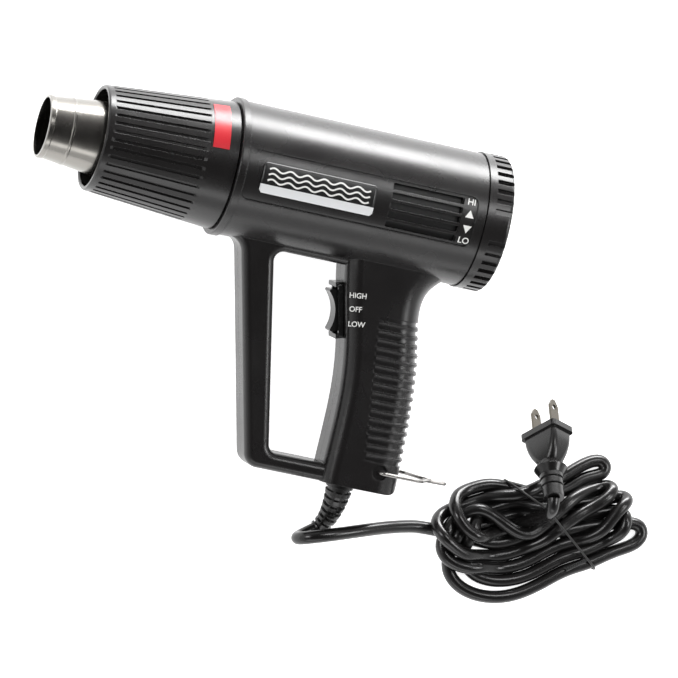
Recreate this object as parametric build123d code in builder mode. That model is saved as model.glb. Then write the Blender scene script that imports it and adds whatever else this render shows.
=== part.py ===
from build123d import *

import os
from math import asin, atan2, cos, degrees, hypot, pi, radians, sin, tan

# A corded heat gun with a closed D handle, lying on its right side.
#
# The gun's own pieces are drawn upright in the gun frame: X runs along the
# barrel from the nozzle mouth to the rear, Z is up, and Y points to the gun's
# right. At the end they are laid down on the table by one Location. The free
# cord, its hank and its plug are drawn straight in the table frame.

# ---------------------------------------------------------------- dimensions
WALL = 2.5                  # moulded shell thickness

# Stations along the barrel
GUARD_X = 28.0              # front rim of the heat guard
BODY_X = 99.0               # front face of the moulded body
SEAM_X = 236.0              # rear face of the moulded body
CAP_END_X = 250.5           # rear face of the cap

# Radii about the barrel axis
BARREL_R = 36.0
FLANGE_R = 37.0             # front flange of the body
BORE_R = BARREL_R - WALL
PANEL_R = 35.2              # floor of the shallow side panels
NOZZLE_MOUTH_R = 17.0
NOZZLE_TUBE_R = 22.0
NOZZLE_WALL = 0.8
GUARD_FRONT_R = 28.25
GUARD_REAR_R = 34.25
GUARD_WALL = 2.4
GUARD_GROOVES = 40
CAP_R = 36.8
CAP_GROOVES = 40

# D handle, drawn in the side view
FRAME_T = 24.0              # width of the front column and bottom bar
GRIP_T = 33.0               # width of the pistol grip
FOOT_Z = -152.0             # level underside of the handle
GRIP_FRONT_ROUND = 8.0
GRIP_REAR_ROUND = 13.0
RIB_COUNT = 16
RIB_PITCH = 4.66
RIB_TOP_Z = -62.8
RIB_GROOVE_DEPTH = 1.1

# Rocker switch in the front of the grip
SWITCH_X, SWITCH_Z = 179.4, -61.0
SWITCH_RAKE = 13.1          # lean of the grip's front face, degrees
SWITCH_W, SWITCH_L = 15.5, 30.0
POCKET_W, POCKET_L = 11.4, 25.0

# Wire stand at the foot of the grip
STAND_X, STAND_Z = 216.5, -141.0
STAND_WIRE_R = 1.0
STAND_LEG_Y = 17.7

# Mains cord
CORD_D = 7.0
CORD_R = CORD_D / 2
RELIEF_X = 201.0

# The gun lies on its front flange and on the lower leg of the wire stand.
STAND_OUTER_Y = STAND_LEG_Y + STAND_WIRE_R
LIE_TILT = degrees(
    asin(FLANGE_R / hypot(STAND_OUTER_Y, STAND_Z)) - atan2(STAND_OUTER_Y, -STAND_Z)
)
CENTRE_X = 129.2
CENTRE_Y = -57.93
LYING = Location((-CENTRE_X, -CENTRE_Y, FLANGE_R)) * Location((0, 0, 0), (LIE_TILT - 90, 0, 0))


# -------------------------------------------------------------- shared forms
def tube(x0, x1, outer, inner=0.0):
    """Round bar, tube or washer about the barrel axis."""
    with BuildPart() as form:
        with BuildSketch(Plane.YZ.offset(x0)):
            Circle(outer)
            if inner > 0:
                Circle(inner, mode=Mode.SUBTRACT)
        extrude(amount=x1 - x0)
    return form.part


def turned(*points):
    """Solid of revolution about the barrel axis from (x, radius) points."""
    with BuildPart() as form:
        with BuildSketch(Plane.XZ):
            with BuildLine():
                Polyline(*points, close=True)
            make_face()
        revolve(axis=Axis.X)
    return form.part


def turned_plane(plane, angles):
    """The plane turned about its own axes by three angles, in degrees."""
    return Plane(plane.location * Location((0, 0, 0), angles))


def cross_pin(x, z, y0, y1, radius):
    """Round bar across the gun from y0 to y1."""
    with BuildPart() as form:
        with BuildSketch(Plane.XZ.offset(-y0)):
            with Locations((x, z)):
                Circle(radius)
        extrude(amount=-(y1 - y0))
    return form.part


def grip_form(inset):
    """Outer form of the pistol grip, drawn in by inset on every side."""
    half = GRIP_T / 2 - inset
    top, bottom = -20.0, FOOT_Z - 12.0
    with BuildPart() as form:
        with BuildSketch(Plane.XZ):
            with BuildLine():
                front = Spline(
                    (172.5 + inset, top),
                    (175.6 + inset, -45.0),
                    (183.3 + inset, -78.0),
                    (186.3 + inset, -100.0),
                    (186.9 + inset, -125.0),
                    (187.0 + inset, bottom),
                )
                rear = Spline(
                    (230.0 - inset, bottom),
                    (229.6 - inset, -125.0),
                    (227.9 - inset, -96.0),
                    (224.4 - inset, -72.0),
                    (221.0 - inset, -53.0),
                    (222.3 - inset, -44.0),
                    (227.5 - inset, -37.0),
                    (234.5 - inset, -31.5),
                )
                Line(front @ 1, rear @ 0)
                corner = Line(rear @ 1, (219.0 - inset, top))
                Line(corner @ 1, front @ 0)
            make_face()
        extrude(amount=half, both=True)
        rims = form.edges().filter_by(lambda e: abs(abs(e.center().Y) - half) < 0.01)
        long_rims = rims.filter_by(lambda e: bottom + 5 < e.center().Z < -40.0)
        fillet(long_rims.sort_by(Axis.X)[:2], GRIP_FRONT_ROUND - inset)
        rims = form.edges().filter_by(lambda e: abs(abs(e.center().Y) - half) < 0.01)
        long_rims = rims.filter_by(lambda e: bottom + 5 < e.center().Z < -40.0)
        fillet(long_rims.sort_by(Axis.X)[-2:], GRIP_REAR_ROUND - inset)
        # the foot is cut level, with a rounded rear corner
        with BuildSketch(Plane.XZ):
            with BuildLine():
                foot = FilletPolyline(
                    (160.0, top),
                    (160.0, FOOT_Z + inset),
                    (230.4 - inset, FOOT_Z + inset),
                    (236.0, -100.0),
                    (236.0, top),
                    radius=(3.0, 8.0 - inset, 3.0),
                )
                Line(foot @ 1, foot @ 0)
            make_face()
        extrude(amount=GRIP_T, both=True, mode=Mode.INTERSECT)
    return form.part


def frame_form(inset):
    """Front column and bottom bar round the hand window, drawn in by inset."""
    half = FRAME_T / 2 - inset
    with BuildPart() as form:
        with BuildSketch(Plane.XZ):
            with BuildLine():
                edge = FilletPolyline(
                    (104.0, -20.0),
                    (104.0, -34.5),
                    (115.9, -35.5),
                    (144.9, FOOT_Z),
                    (205.0, FOOT_Z),
                    (205.0, -20.0),
                    radius=(0.8, 9.0, 8.0, 2.0),
                )
                Line(edge @ 1, edge @ 0)
            make_face()
            with BuildLine():
                FilletPolyline(
                    (134.6, -37.3),
                    (156.4, -142.5),
                    (194.0, -142.5),
                    (194.0, -37.3),
                    close=True,
                    radius=5.0,
                )
            make_face(mode=Mode.SUBTRACT)
            if inset > 0:
                offset(amount=-inset)
        extrude(amount=half, both=True)
        if inset == 0:
            rims = form.edges().filter_by(lambda e: abs(abs(e.center().Y) - half) < 0.01)
            fillet(rims.filter_by(lambda e: e.center().Z < -36.5 and e.center().X < 190), 4.0)
    return form.part


# ------------------------------------------------------------ housing shells
SCREWS = (                  # x, z and seat depth of each clamshell screw
    (113.0, 29.5, 9.0),
    (196.0, 29.5, 9.0),
    (138.2, -93.0, 6.0),
    (217.0, -56.0, 9.0),
    (216.5, -122.0, 9.0),
)
SCREW_HEAD_R = 2.9
SCREW_SHANK_R = 1.5
BOSS_R = 3.6
TRAP_RIBS = (               # x0, x1 and inner radius of the ribs inside the barrel
    (99.0, 101.5, 30.4),
    (105.6, 107.6, 30.4),
    (147.5, 149.7, 30.0),
    (158.3, 160.3, 30.0),
    (222.9, 224.8, 30.6),
    (226.5, 228.4, 30.6),
    (231.4, 236.0, 32.9),
)
VENT_X, VENT_L, VENT_H, VENT_PITCH = 203.3, 39.5, 3.4, 5.0
PANEL_X, PANEL_L, PANEL_H = 167.3, 127.0, 27.0

grip_outer = grip_form(0)
grip_core = grip_form(RIB_GROOVE_DEPTH)
frame_outer = frame_form(0)

with BuildPart() as grip_grooves:
    # the flutes between the finger ribs, round the back half of the grip
    for rib in range(RIB_COUNT + 1):
        z = RIB_TOP_Z - (rib - 0.5) * RIB_PITCH
        x = 197.0 - (z - RIB_TOP_Z) * 0.129
        with BuildSketch(Plane.XZ):
            with Locations((x + 20.0, z)):
                SlotOverall(40.0, 2.3)
        extrude(amount=GRIP_T, both=True)
    add(grip_core, mode=Mode.SUBTRACT)

with BuildPart() as side_panels:
    with BuildSketch(Plane.XZ):
        with Locations((PANEL_X, 0)):
            RectangleRounded(PANEL_L, PANEL_H, 4.0)
    extrude(amount=BARREL_R + 2, both=True)
    add(tube(BODY_X, SEAM_X, PANEL_R), mode=Mode.SUBTRACT)

with BuildPart() as vents:
    with BuildSketch(Plane.XZ):
        with Locations((VENT_X, 0)):
            with GridLocations(0, VENT_PITCH, 1, 5):
                RectangleRounded(VENT_L, VENT_H, 0.6)
    extrude(amount=BARREL_R + 2, both=True)

with BuildPart() as switch_opening:
    with BuildSketch(Plane.XZ):
        with Locations(Location((SWITCH_X, SWITCH_Z), -SWITCH_RAKE + 90)):
            Rectangle(26.4, 34.0)
    extrude(amount=6.7, both=True)

with BuildPart() as shell:
    add(tube(BODY_X, SEAM_X, BARREL_R))
    add(tube(BODY_X, BODY_X + 4.2, FLANGE_R))
    fillet(shell.edges().filter_by(GeomType.CIRCLE).group_by(Axis.X)[0], 0.8)
    add(frame_outer)
    add(grip_outer)
    add(grip_grooves.part, mode=Mode.SUBTRACT)
    add(side_panels.part, mode=Mode.SUBTRACT)
    # hollow
    add(tube(BODY_X - 1, SEAM_X + 1, BORE_R), mode=Mode.SUBTRACT)
    add(grip_form(WALL), mode=Mode.SUBTRACT)
    add(frame_form(WALL), mode=Mode.SUBTRACT)
    add(vents.part, mode=Mode.SUBTRACT)

with BuildPart() as inner_ribs:
    for x0, x1, radius in TRAP_RIBS:
        add(tube(x0, x1, BORE_R + 0.5, radius))
    # channel along the bottom for the leads
    with BuildSketch(Plane.YZ.offset(107.0)):
        with Locations((0, -31.0)):
            Rectangle(11.0, 7.0)
    extrude(amount=53.5, mode=Mode.SUBTRACT)

with BuildPart() as bosses:
    for x, z, seat in SCREWS:
        add(cross_pin(x, z, -GRIP_T, GRIP_T, BOSS_R))
    add(cross_pin(STAND_X, STAND_Z, -GRIP_T, GRIP_T, 4.2))

with BuildPart() as boss_room:
    # everything inside the outer skin, so that no boss shows outside
    add(tube(BODY_X, SEAM_X, BORE_R + 0.5))
    add(grip_form(WALL - 0.5))
    add(frame_form(WALL - 0.5))
    add(bosses.part, mode=Mode.INTERSECT)

with BuildPart() as whole_shell:
    add(shell.part)
    add(inner_ribs.part)
    add(boss_room.part)
    add(switch_opening.part, mode=Mode.SUBTRACT)
    # hole for the cord's strain relief
    with BuildSketch(Plane.XY.offset(FOOT_Z - 1)):
        with Locations((RELIEF_X, 0)):
            Circle(7.0)
    extrude(amount=6.0, mode=Mode.SUBTRACT)
    add(cross_pin(STAND_X, STAND_Z, -GRIP_T, -11.0, STAND_WIRE_R + 0.05), mode=Mode.SUBTRACT)
    add(cross_pin(STAND_X, STAND_Z, 11.0, GRIP_T, STAND_WIRE_R + 0.05), mode=Mode.SUBTRACT)
    # dished seat round each end of the wire stand
    for side in (-1, 1):
        with BuildSketch(Plane.XZ.offset(side * (GRIP_T / 2 + 1))):
            with Locations((STAND_X, STAND_Z)):
                Circle(4.2)
        extrude(amount=-side * 2.6, mode=Mode.SUBTRACT)

with BuildPart() as housing_left:
    add(whole_shell.part)
    split(bisect_by=Plane.XZ, keep=Keep.TOP)
    for x, z, seat in SCREWS:
        add(cross_pin(x, z, -9.5, 1.0, SCREW_SHANK_R + 0.1), mode=Mode.SUBTRACT)

with BuildPart() as housing_right:
    add(whole_shell.part)
    split(bisect_by=Plane.XZ, keep=Keep.BOTTOM)
    for x, z, seat in SCREWS:
        add(cross_pin(x, z, -1.0, 40.0, SCREW_SHANK_R + 0.3), mode=Mode.SUBTRACT)
        add(cross_pin(x, z, seat, 40.0, SCREW_HEAD_R + 0.3), mode=Mode.SUBTRACT)

with BuildPart() as housing_screws:
    for x, z, seat in SCREWS:
        add(cross_pin(x, z, -9.0, seat, SCREW_SHANK_R))
        add(cross_pin(x, z, seat, seat + 2.2, SCREW_HEAD_R))
        add(cross_pin(x, z, seat + 1.2, seat + 3.0, 0.9), mode=Mode.SUBTRACT)


# ------------------------------------------------------------- nozzle, guard
with BuildPart() as nozzle:
    # drawn tube with a rolled lip and a flange that the guard traps
    add(turned(
        (0.0, NOZZLE_MOUTH_R - 1.6),
        (0.0, NOZZLE_MOUTH_R - 0.5),
        (0.5, NOZZLE_MOUTH_R),
        (2.5, NOZZLE_MOUTH_R),
        (3.1, NOZZLE_MOUTH_R - 0.35),
        (12.2, 17.7),
        (12.7, 18.05),
        (13.5, 18.1),
        (14.0, 17.85),
        (GUARD_X, 19.6),
        (60.0, NOZZLE_TUBE_R),
        (100.0, NOZZLE_TUBE_R),
        (100.0, 27.5),
        (101.0, 27.5),
        (101.0, NOZZLE_TUBE_R - NOZZLE_WALL),
        (60.0, NOZZLE_TUBE_R - NOZZLE_WALL),
        (GUARD_X, 19.6 - NOZZLE_WALL),
        (3.1, NOZZLE_MOUTH_R - 0.35 - NOZZLE_WALL),
        (1.2, NOZZLE_MOUTH_R - 1.6),
    ))


def guard_radius(x):
    """Outside radius of the tapered heat guard."""
    share = (x - GUARD_X) / (BODY_X - GUARD_X)
    return GUARD_FRONT_R + (GUARD_REAR_R - GUARD_FRONT_R) * share


with BuildPart() as guard_grooves:
    # each groove runs out to the surface at both ends
    ends = ((31.0, 0.3), (33.0, -1.0), (81.0, -1.0), (83.0, 0.3))
    groove_floor = [(x, guard_radius(x) + lift) for x, lift in ends]
    for step in range(GUARD_GROOVES):
        with BuildSketch(Plane.XZ.rotated(((step + 0.5) * 360 / GUARD_GROOVES, 0, 0))):
            with BuildLine():
                Polyline(*groove_floor, (83.0, 37.0), (31.0, 37.0), close=True)
            make_face()
    extrude(amount=0.85, both=True)

with BuildPart() as nozzle_guard:
    add(turned(
        (GUARD_X, GUARD_FRONT_R - GUARD_WALL + 0.6),
        (GUARD_X, GUARD_FRONT_R - 0.6),
        (GUARD_X + 0.8, GUARD_FRONT_R + 0.05),
        (98.2, guard_radius(98.2)),
        (98.2, 30.0),
        (101.6, 30.0),
        (101.6, 33.0),
        (105.5, 33.0),
        (105.5, 27.8),
        (100.0, 27.8),
        (100.0, NOZZLE_TUBE_R + 0.3),
        (97.0, NOZZLE_TUBE_R + 0.3),
        (97.0, 27.6),
        (92.0, guard_radius(92.0) - GUARD_WALL),
        (GUARD_X + 0.6, GUARD_FRONT_R - GUARD_WALL),
    ))
    add(guard_grooves.part, mode=Mode.SUBTRACT)

with BuildPart() as guard_label:
    # thin patch on the smooth rear band of the guard, upper left
    add(turned(
        (84.0, guard_radius(84.0) + 0.05),
        (84.0, guard_radius(84.0) + 0.35),
        (92.8, guard_radius(92.8) + 0.35),
        (92.8, guard_radius(92.8) + 0.05),
    ))
    with BuildSketch(Plane.YZ.offset(80.0)):
        with BuildLine():
            Polyline(
                (0, 0),
                *[(-60 * cos(radians(a)), 60 * sin(radians(a))) for a in (17, 34, 51, 68)],
                close=True,
            )
        make_face()
    extrude(amount=30.0, mode=Mode.INTERSECT)

with BuildPart() as name_plate:
    # curved plate stuck to the floor of the left panel
    with BuildSketch(Plane.XZ):
        with Locations((143.6, 0)):
            RectangleRounded(62.5, 16.4, 2.0)
    extrude(amount=40.0)
    add(tube(100.0, 200.0, PANEL_R + 0.6, PANEL_R + 0.05), mode=Mode.INTERSECT)


# ------------------------------------------------------- rear cap and intake
CAP_POINTER_ANGLE = 183.0   # where the smooth pointer pad sits, from +Y towards +Z

with BuildPart() as cap_grooves:
    for step in range(CAP_GROOVES):
        angle = (step + 0.5) * 360 / CAP_GROOVES
        turn_from_pad = abs((angle - CAP_POINTER_ANGLE + 180) % 360 - 180)
        if turn_from_pad > 10:
            with BuildSketch(Plane.XY.rotated((angle, 0, 0))):
                with Locations((246.6, 36.3)):
                    Rectangle(12.2, 2.4)
    extrude(amount=1.4, both=True)

with BuildPart() as rear_cap:
    add(tube(SEAM_X + 0.4, CAP_END_X, CAP_R, 33.8))
    fillet(rear_cap.edges().filter_by(GeomType.CIRCLE).group_by(Axis.X)[-1].sort_by(SortBy.LENGTH)[-1], 2.2)
    add(tube(CAP_END_X - 2.4, CAP_END_X, 34.2))
    add(tube(SEAM_X + 0.4, SEAM_X + 2.6, 34.2, 30.4))
    add(tube(228.8, SEAM_X + 0.6, 32.5, 30.4))
    add(tube(228.8, 231.0, 33.1, 30.4))
    add(cap_grooves.part, mode=Mode.SUBTRACT)
    # intake slots through the rear face, in two rings
    with BuildSketch(Plane.YZ.offset(CAP_END_X - 4)):
        with PolarLocations(22.5, 20):
            SlotOverall(11.0, 2.8)
        with PolarLocations(10.5, 10):
            SlotOverall(8.0, 2.8)
    extrude(amount=6.0, mode=Mode.SUBTRACT)

with BuildPart() as intake_plate:
    add(tube(224.9, 226.4, 33.2))
    with BuildSketch(Plane.YZ.offset(224.0)):
        with PolarLocations(22.5, 20):
            SlotOverall(12.0, 4.0)
        with PolarLocations(10.5, 10):
            SlotOverall(8.0, 4.0)
    extrude(amount=4.0, mode=Mode.SUBTRACT)


# ---------------------------------------------------------------- the switch
SWITCH = Plane(
    origin=(SWITCH_X, 0, SWITCH_Z),
    x_dir=(0, 1, 0),
    z_dir=(-cos(radians(SWITCH_RAKE)), 0, -sin(radians(SWITCH_RAKE))),
)

with BuildPart() as switch_body:
    with BuildSketch(SWITCH.offset(-15.0)):
        Rectangle(13.0, 26.0)
    extrude(amount=15.2)
    with BuildSketch(SWITCH.offset(0.2)):
        RectangleRounded(SWITCH_W, SWITCH_L, 2.0)
    extrude(amount=2.6)
    with BuildSketch(SWITCH.offset(2.8)):
        with GridLocations(0, SWITCH_L - 2.6, 1, 2):
            RectangleRounded(SWITCH_W, 2.6, 1.0)
    extrude(amount=1.6)
    with BuildSketch(SWITCH.offset(-5.0)):
        Rectangle(POCKET_W, POCKET_L)
    extrude(amount=12.0, mode=Mode.SUBTRACT)

with BuildPart() as rocker:
    with BuildSketch(turned_plane(SWITCH, (0, 90, 0))):
        # side view: local x is the depth into the grip, local y runs down it
        with BuildLine():
            Polyline(
                (1.6, -10.6),
                (-6.6, -11.3),
                (-7.1, -10.2),
            )
            ThreePointArc((-7.1, -10.2), (-4.0, 0.0), (-7.1, 10.2))
            Polyline(
                (-7.1, 10.2),
                (-6.6, 11.3),
                (1.6, 10.6),
                (3.2, 0.0),
                (1.6, -10.6),
            )
        make_face()
    extrude(amount=POCKET_W / 2 - 0.35, both=True)

TERMINAL_Y = 3.0            # half the spacing across the gun
TERMINAL_PITCH = 8.0        # spacing down the grip
TERMINAL_DEPTH = 21.0       # tips behind the switch's face

with BuildPart() as switch_terminals:
    with BuildSketch(SWITCH.offset(-TERMINAL_DEPTH)):
        with GridLocations(2 * TERMINAL_Y, TERMINAL_PITCH, 2, 3):
            Rectangle(0.8, 4.8)
    extrude(amount=TERMINAL_DEPTH - 15.0)


# --------------------------------------------------------------- wire stand
with BuildPart() as wire_stand:
    with BuildLine(Plane.XY.offset(STAND_Z)) as stand_line:
        FilletPolyline(
            (STAND_X, -11.5),
            (STAND_X, -STAND_LEG_Y),
            (239.0, -STAND_LEG_Y),
            (246.5, -4.6),
            (257.4, -1.9),
            (257.4, 1.9),
            (246.5, 4.6),
            (239.0, STAND_LEG_Y),
            (STAND_X, STAND_LEG_Y),
            (STAND_X, 11.5),
            radius=(2.6, 5.0, 5.0, 1.6, 1.6, 5.0, 5.0, 2.6),
        )
    with BuildSketch(Plane(origin=(STAND_X, -11.5, STAND_Z), z_dir=(0, -1, 0))):
        Circle(STAND_WIRE_R)
    sweep()


# ---------------------------------------------------------- motor and blower
SHAFT_R = 1.15

motor_shaft = tube(149.0, 222.0, SHAFT_R)
rotor_core = tube(158.0, 178.0, 9.0, SHAFT_R + 0.02)
commutator = tube(153.2, 157.2, 4.0, SHAFT_R + 0.02)

with BuildPart() as motor_can:
    add(tube(152.0, 188.0, 13.9, 12.7))
    add(tube(186.6, 188.0, 13.0, 3.0))
    add(tube(187.5, 190.5, 4.2, 3.0))

with BuildPart() as motor_end_cap:
    add(tube(147.6, 152.0, 13.4, 3.0))
    for side in (-1, 1):
        with BuildSketch(Plane.YZ.offset(144.7)):
            with Locations((side * 8.0, 0)):
                Rectangle(1.0, 3.0)
        extrude(amount=3.5)

with BuildPart() as motor_bushes:
    add(tube(148.0, 151.6, 2.95, SHAFT_R + 0.05))
    add(tube(186.8, 190.4, 2.95, SHAFT_R + 0.05))

with BuildPart() as motor_magnets:
    add(tube(157.0, 179.0, 12.6, 10.2))
    with BuildSketch(Plane.YZ.offset(150.0)):
        with GridLocations(18.0, 0, 2, 1):
            Rectangle(6.5, 30.0)
    extrude(amount=40.0, mode=Mode.SUBTRACT)

with BuildPart() as motor_mount:
    # ring clamped between two ribs of the housing, with spokes to the motor
    add(tube(149.8, 158.2, 33.2, 30.4))
    add(tube(149.8, 158.2, 16.0, 14.0))
    for step in range(5):
        with BuildSketch(Plane.YZ.offset(149.8).rotated((step * 72 + 54, 0, 0))):
            with Locations((23.0, 0)):
                Rectangle(16.0, 2.2)
        extrude(amount=8.4)
    # notch for the leads
    with BuildSketch(Plane.YZ.offset(149.0)):
        with Locations((0, -32.0)):
            Rectangle(9.0, 3.6)
    extrude(amount=10.0, mode=Mode.SUBTRACT)

with BuildPart() as impeller:
    add(tube(203.0, 219.0, 8.5, SHAFT_R + 0.02))
    for step in range(9):
        angle = step * 40
        spoke = Plane(
            origin=(211.0, 7.6 * cos(radians(angle)), 7.6 * sin(radians(angle))),
            x_dir=(1, 0, 0),
            z_dir=(0, cos(radians(angle)), sin(radians(angle))),
        )
        with BuildSketch(turned_plane(spoke, (0, 0, 38))):
            RectangleRounded(16.0, 1.4, 0.6)
        extrude(amount=21.0)

with BuildPart() as rectifier_board:
    add(tube(143.1, 144.7, 13.0))
    with BuildSketch(Plane.YZ.offset(143.0)):
        with PolarLocations(9.5, 4, start_angle=45):
            Circle(1.2)
    extrude(amount=2.0, mode=Mode.SUBTRACT)

with BuildPart() as rectifier_diodes:
    for y in (-4.5, -1.5, 1.5, 4.5):
        with BuildSketch(Plane.XY.offset(-2.6)):
            with Locations((141.6, y)):
                Circle(1.3)
        extrude(amount=5.2)
    with BuildSketch(Plane.YZ.offset(142.2)):
        with GridLocations(3.0, 3.0, 4, 2):
            Circle(0.4)
    extrude(amount=0.9)


# -------------------------------------------------------------------- heater
with BuildPart() as heater_sleeve:
    add(tube(60.0, 101.0, 20.9, 20.2))

with BuildPart() as heater_support:
    # two crossed mica sheets
    for turn in (45, 135):
        with BuildSketch(Plane.YZ.offset(58.0).rotated((turn, 0, 0))):
            Rectangle(32.0, 0.8)
        extrude(amount=43.0)

with BuildPart() as heater_coils:
    with BuildLine() as coil_line:
        Helix(pitch=4.0, height=32.0, radius=17.0, center=(62, 0, 0), direction=(1, 0, 0))
    with BuildSketch(Plane(origin=coil_line.line @ 0, z_dir=coil_line.line % 0)):
        Circle(0.55)
    sweep(is_frenet=True)

with BuildPart() as heater_plate:
    add(tube(101.0, 103.0, 27.5))
    with BuildSketch(Plane.YZ.offset(100.5)):
        with PolarLocations(13.5, 4):
            Circle(6.2)
        with PolarLocations(23.0, 8):
            Circle(2.6)
    extrude(amount=3.0, mode=Mode.SUBTRACT)

with BuildPart() as thermal_cutout:
    with BuildSketch(Plane.YZ.offset(103.0)):
        with Locations((0, 2.0)):
            RectangleRounded(9.0, 5.0, 1.0)
    extrude(amount=3.0)
    with BuildSketch(Plane.YZ.offset(106.0)):
        with Locations((0, 2.0)):
            with GridLocations(6.0, 0, 2, 1):
                Rectangle(0.6, 2.5)
    extrude(amount=4.0)

with BuildPart() as air_duct:
    add(tube(103.0, 149.8, 25.0, 23.8))
    # notch for the leads
    with BuildSketch(Plane.YZ.offset(102.0)):
        with Locations((0, -24.5)):
            Rectangle(9.0, 6.0)
    extrude(amount=8.0, mode=Mode.SUBTRACT)


# ------------------------------------------------------ leads inside the gun
def bent_wire(points, radii, radius):
    """Round wire along straight runs joined by arcs."""
    with BuildPart() as form:
        with BuildLine() as line:
            FilletPolyline(*points, radius=radii)
        with BuildSketch(Plane(origin=line.line @ 0, z_dir=line.line % 0)):
            Circle(radius)
        sweep()
    return form.part


with BuildPart() as mains_lead:
    # the jacketed end of the cord, from the strain relief up past the clamp
    with BuildSketch(Plane.XY.offset(-147.0)):
        with Locations((RELIEF_X, 0)):
            Circle(CORD_R)
    extrude(amount=37.0)

with BuildPart() as cord_clamp:
    with BuildSketch(Plane.YZ.offset(RELIEF_X - 5.6)):
        with Locations((0, -130.0)):
            RectangleRounded(24.0, 7.0, 1.5)
    extrude(amount=2.0)

with BuildPart() as cord_clamp_screws:
    for side in (-1, 1):
        with BuildSketch(Plane.YZ.offset(RELIEF_X - 7.0)):
            with Locations((side * 8.5, -130.0)):
                Circle(2.4)
        extrude(amount=1.4)

def behind_switch(side, down, depth):
    """Point behind the switch: across the gun, down the grip and into it."""
    return SWITCH.from_local_coords(Vector(side * TERMINAL_Y, down * TERMINAL_PITCH, -depth))


with BuildPart() as lead_wires:
    for side in (-1, 1):
        # from the cord up to the lower terminals
        add(bent_wire(
            (
                (RELIEF_X + 1, side * 1.6, -110.0),
                (RELIEF_X + 1, side * 1.6, -96.0),
                (207.5, side * TERMINAL_Y, -71.0),
                behind_switch(side, 1, TERMINAL_DEPTH + 5.0),
                behind_switch(side, 1, TERMINAL_DEPTH),
            ),
            (6.0, 5.0, 2.0),
            0.9,
        ))
        # from the upper terminals forward along the barrel to the heater
        add(bent_wire(
            (
                behind_switch(side, -1, TERMINAL_DEPTH),
                behind_switch(side, -1, TERMINAL_DEPTH + 5.0),
                (200.0, side * 2.6, -37.5),
                (190.0, side * 2.2, -31.8),
                (150.0, side * 2.0, -31.6),
                (118.0, side * 2.2, -31.4),
                (109.0, side * 2.0, -29.0),
                (107.0, side * 1.8, -23.0),
                (103.9, side * 1.8, -20.0),
            ),
            (2.0, 4.0, 12.0, 30.0, 8.0, 2.0, 1.5),
            0.9,
        ))


# ------------------------------------------------ free cord, in the table frame
def printed_radii(points):
    """The largest tangent arc that fits each corner of a route."""
    radii = []
    for before, corner, after in zip(points, points[1:], points[2:]):
        arriving = Vector(*corner) - Vector(*before)
        leaving = Vector(*after) - Vector(*corner)
        half_turn = radians(arriving.get_angle(leaving)) / 2
        radii.append(0.45 * min(arriving.length, leaving.length) / tan(half_turn))
    return radii


CORD_ROUTE = (
    (66.3, -118.8, 4.7),    # end of the strain relief
    (59.0, -123.9, 4.2),    # sharp fold, up and back over the relief's end
    (55.1, -126.1, 12.0),
    (59.3, -124.6, 19.8),
    (71.5, -120.8, 20.3),
    (86.5, -115.9, 17.0),
    (103.0, -110.8, 10.5),
    (119.0, -107.0, 5.2),
    (128.5, -104.9, 4.0),   # into the hank
)
RELIEF_ROOT = (LYING * Location((RELIEF_X, 0, FOOT_Z))).position
RELIEF_ROOT_R = 7.6
RELIEF_TIP_R = 4.4
RELIEF_RINGS = 7

relief_axis = Spline(
    RELIEF_ROOT,
    CORD_ROUTE[0],
    tangents=(
        (0, -cos(radians(LIE_TILT)), -sin(radians(LIE_TILT))),
        (Vector(*CORD_ROUTE[1]) - Vector(*CORD_ROUTE[0])).normalized(),
    ),
    tangent_scalars=(1.15, 0.8),
)


def relief_plane(share):
    """Plane across the strain relief's centre line."""
    return Plane(origin=relief_axis @ share, z_dir=relief_axis % share)


def relief_radius(share):
    """Radius of the strain relief's rings along its length."""
    return RELIEF_ROOT_R + (RELIEF_TIP_R - RELIEF_ROOT_R) * share


with BuildPart() as strain_relief:
    # rings and necks by turns, each a short taper
    steps = 2 * RELIEF_RINGS + 1
    for step in range(steps):
        start, end = step / steps, (step + 1) / steps
        groove = 0.0 if step % 2 == 0 else 1.1
        with BuildSketch(relief_plane(start)):
            Circle(relief_radius(start) - groove)
        with BuildSketch(relief_plane(end)):
            Circle(relief_radius(end) - groove)
        loft()
    # neck through the housing and the flange behind it
    with BuildSketch(relief_plane(0)):
        Circle(6.7)
    extrude(amount=-2.5)
    with BuildSketch(relief_plane(0).offset(-2.5)):
        Circle(8.6)
    extrude(amount=-2.5)

with BuildPart() as cord:
    with BuildLine() as cord_line:
        FilletPolyline(*CORD_ROUTE, radius=printed_radii(CORD_ROUTE))
    with BuildSketch(Plane(origin=cord_line.line @ 0, z_dir=cord_line.line % 0)):
        Circle(CORD_R)
    sweep()

# The plug leans down from the hank to the table
PLUG_HEADING, PLUG_PITCH, PLUG_ROLL = 96.0, -32.0, 120.0
PLUG_FACE = (180.6, -43.1, 14.8)    # middle of the face that the blades leave
PLUG_LENGTH = 42.0
plug_axis = Vector(
    cos(radians(PLUG_PITCH)) * cos(radians(PLUG_HEADING)),
    cos(radians(PLUG_PITCH)) * sin(radians(PLUG_HEADING)),
    sin(radians(PLUG_PITCH)),
)
level_plug = Plane(origin=PLUG_FACE, x_dir=Vector(0, 0, 1).cross(plug_axis), z_dir=plug_axis)
PLUG = turned_plane(level_plug, (0, 0, PLUG_ROLL))

BOOT_STEPS = (               # from, to and radius of each step of the plug's boot
    (-28.0, -30.4, 6.4),
    (-30.4, -31.4, 5.4),
    (-31.4, -34.6, 6.0),
    (-34.6, -35.6, 5.1),
    (-35.6, -PLUG_LENGTH, 5.7),
)
BLADE_SPACING = 12.7
BLADE_W, BLADE_T, BLADE_L = 6.3, 1.5, 17.0

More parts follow.
